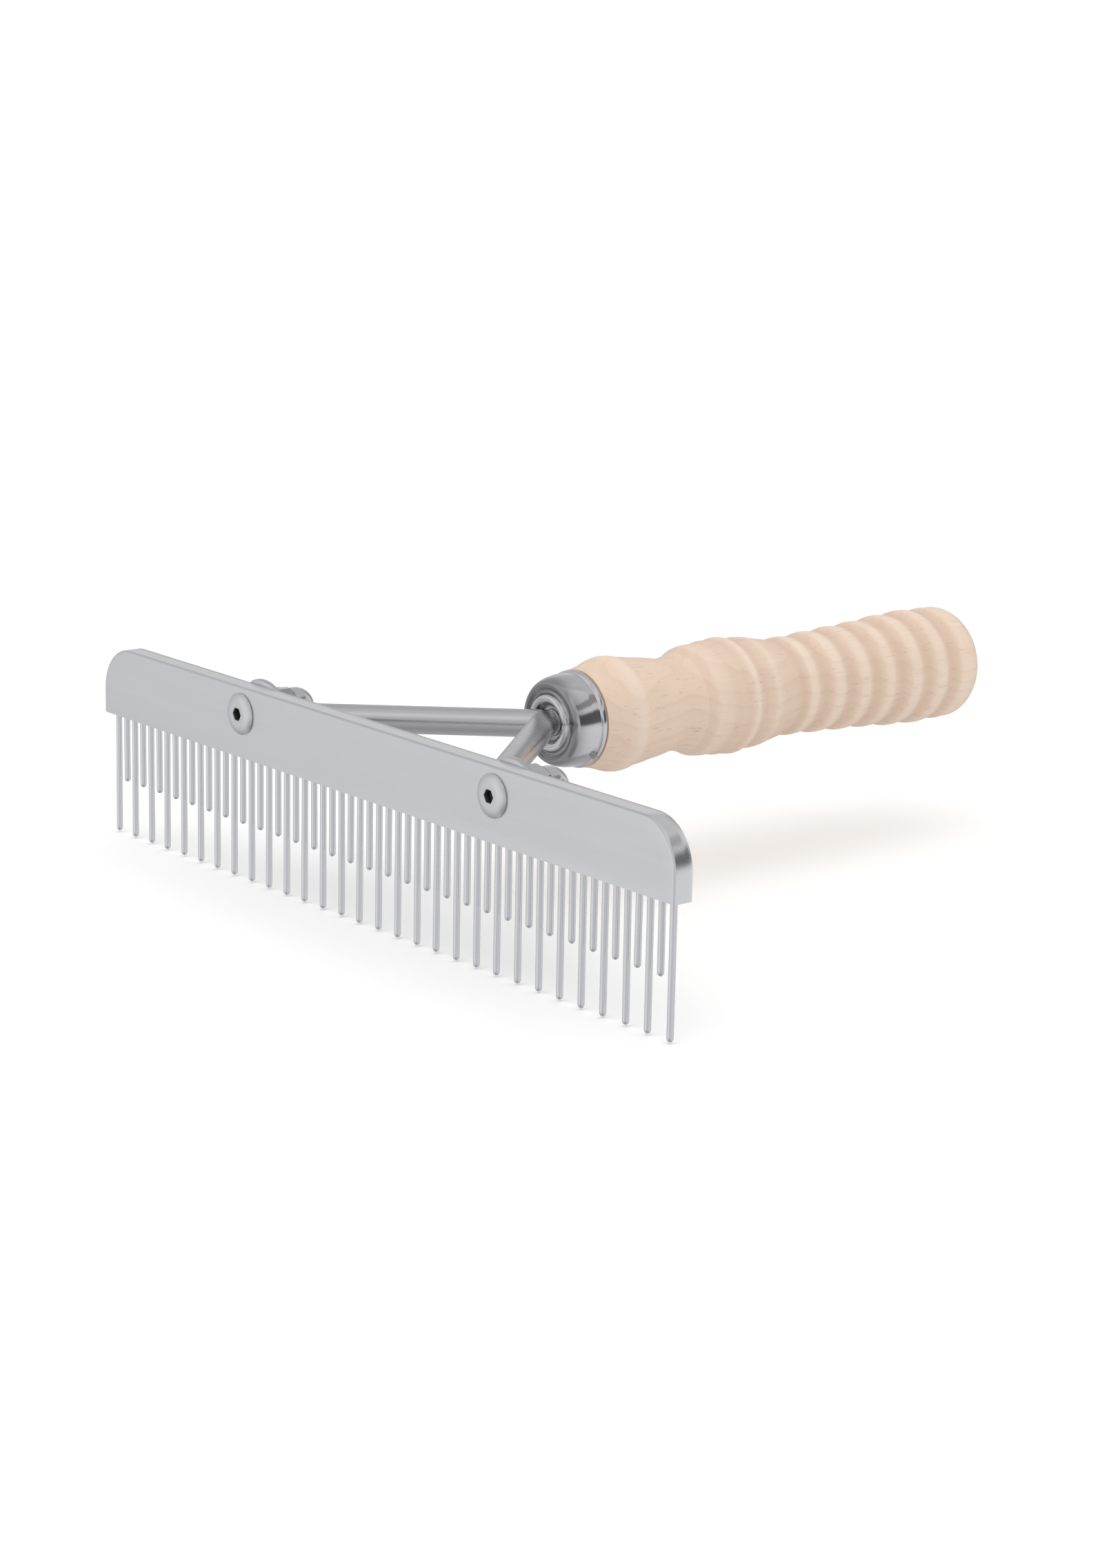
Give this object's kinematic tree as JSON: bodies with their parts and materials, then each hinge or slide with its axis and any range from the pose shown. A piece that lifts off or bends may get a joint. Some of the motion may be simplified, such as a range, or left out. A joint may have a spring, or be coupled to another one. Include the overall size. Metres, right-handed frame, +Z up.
{
  "type": "deshedding comb",
  "caption": "Deshedding comb: hollow metal head with alternating long and short round pins, a V fork of steel rods screwed to it, a plated ferrule and a ribbed turned wooden handle.",
  "frame": {"origin": "centre of the head's flat top face", "axes": "+X along the head, +Y back along the handle, +Z up out of the head's top face, pins pointing down along -Z"},
  "size_m": [0.2286, 0.1982, 0.0584],
  "materials": {
    "head_sheet": "satin-polished stainless sheet",
    "bar_metal": "milled, left plain",
    "pin_steel": "drawn wire, tumbled smooth",
    "fastener_steel": "bright plated",
    "spacer_steel": "plain cut tube",
    "rod_steel": "bright plated rod",
    "washer_steel": "zinc plated",
    "nut_chrome": "bright plated",
    "ferrule_chrome": "bright plated",
    "brad_steel": "plain steel",
    "handle_wood": "unvarnished, sanded on the lathe"
  },
  "bodies": {
    "root": {"head_front_shell": "head_sheet", "head_back_plate": "head_sheet", "pin_bar": "bar_metal", "long_pins": "pin_steel", "short_pins": "pin_steel", "spacer_left": "spacer_steel", "spacer_right": "spacer_steel", "fork_leg_left": "rod_steel", "fork_leg_right": "rod_steel", "fork_tang": "rod_steel", "lock_washer_left": "washer_steel", "lock_washer_right": "washer_steel", "ferrule": "ferrule_chrome", "ferrule_brads": "brad_steel", "handle_grip": "handle_wood"},
    "screw_left": {"screw_left": "fastener_steel"},
    "screw_right": {"screw_right": "fastener_steel"},
    "cap_nut_left": {"cap_nut_left": "nut_chrome"},
    "cap_nut_right": {"cap_nut_right": "nut_chrome"}
  },
  "joints": [
    {"name": "screw_left_turn", "type": "hinge", "parent": "root", "child": "screw_left", "pos_m": [-0.0508, 0, -0.0068], "axis": [0, -1, 0], "range_deg": [0, 2160]},
    {"name": "nut_left_travel", "type": "slide", "parent": "root", "child": "cap_nut_left", "axis": [0, 1, 0], "range_m": [0, 0.006]},
    {"name": "screw_right_turn", "type": "hinge", "parent": "root", "child": "screw_right", "pos_m": [0.0508, 0, -0.0068], "axis": [0, -1, 0], "range_deg": [0, 2160]},
    {"name": "nut_right_travel", "type": "slide", "parent": "root", "child": "cap_nut_right", "axis": [0, 1, 0], "range_m": [0, 0.006]}
  ],
  "couplings": [
    {"joint": "screw_left_turn", "follows": "nut_left_travel", "rad_per_m": 6283},
    {"joint": "screw_right_turn", "follows": "nut_right_travel", "rad_per_m": 6283}
  ]
}
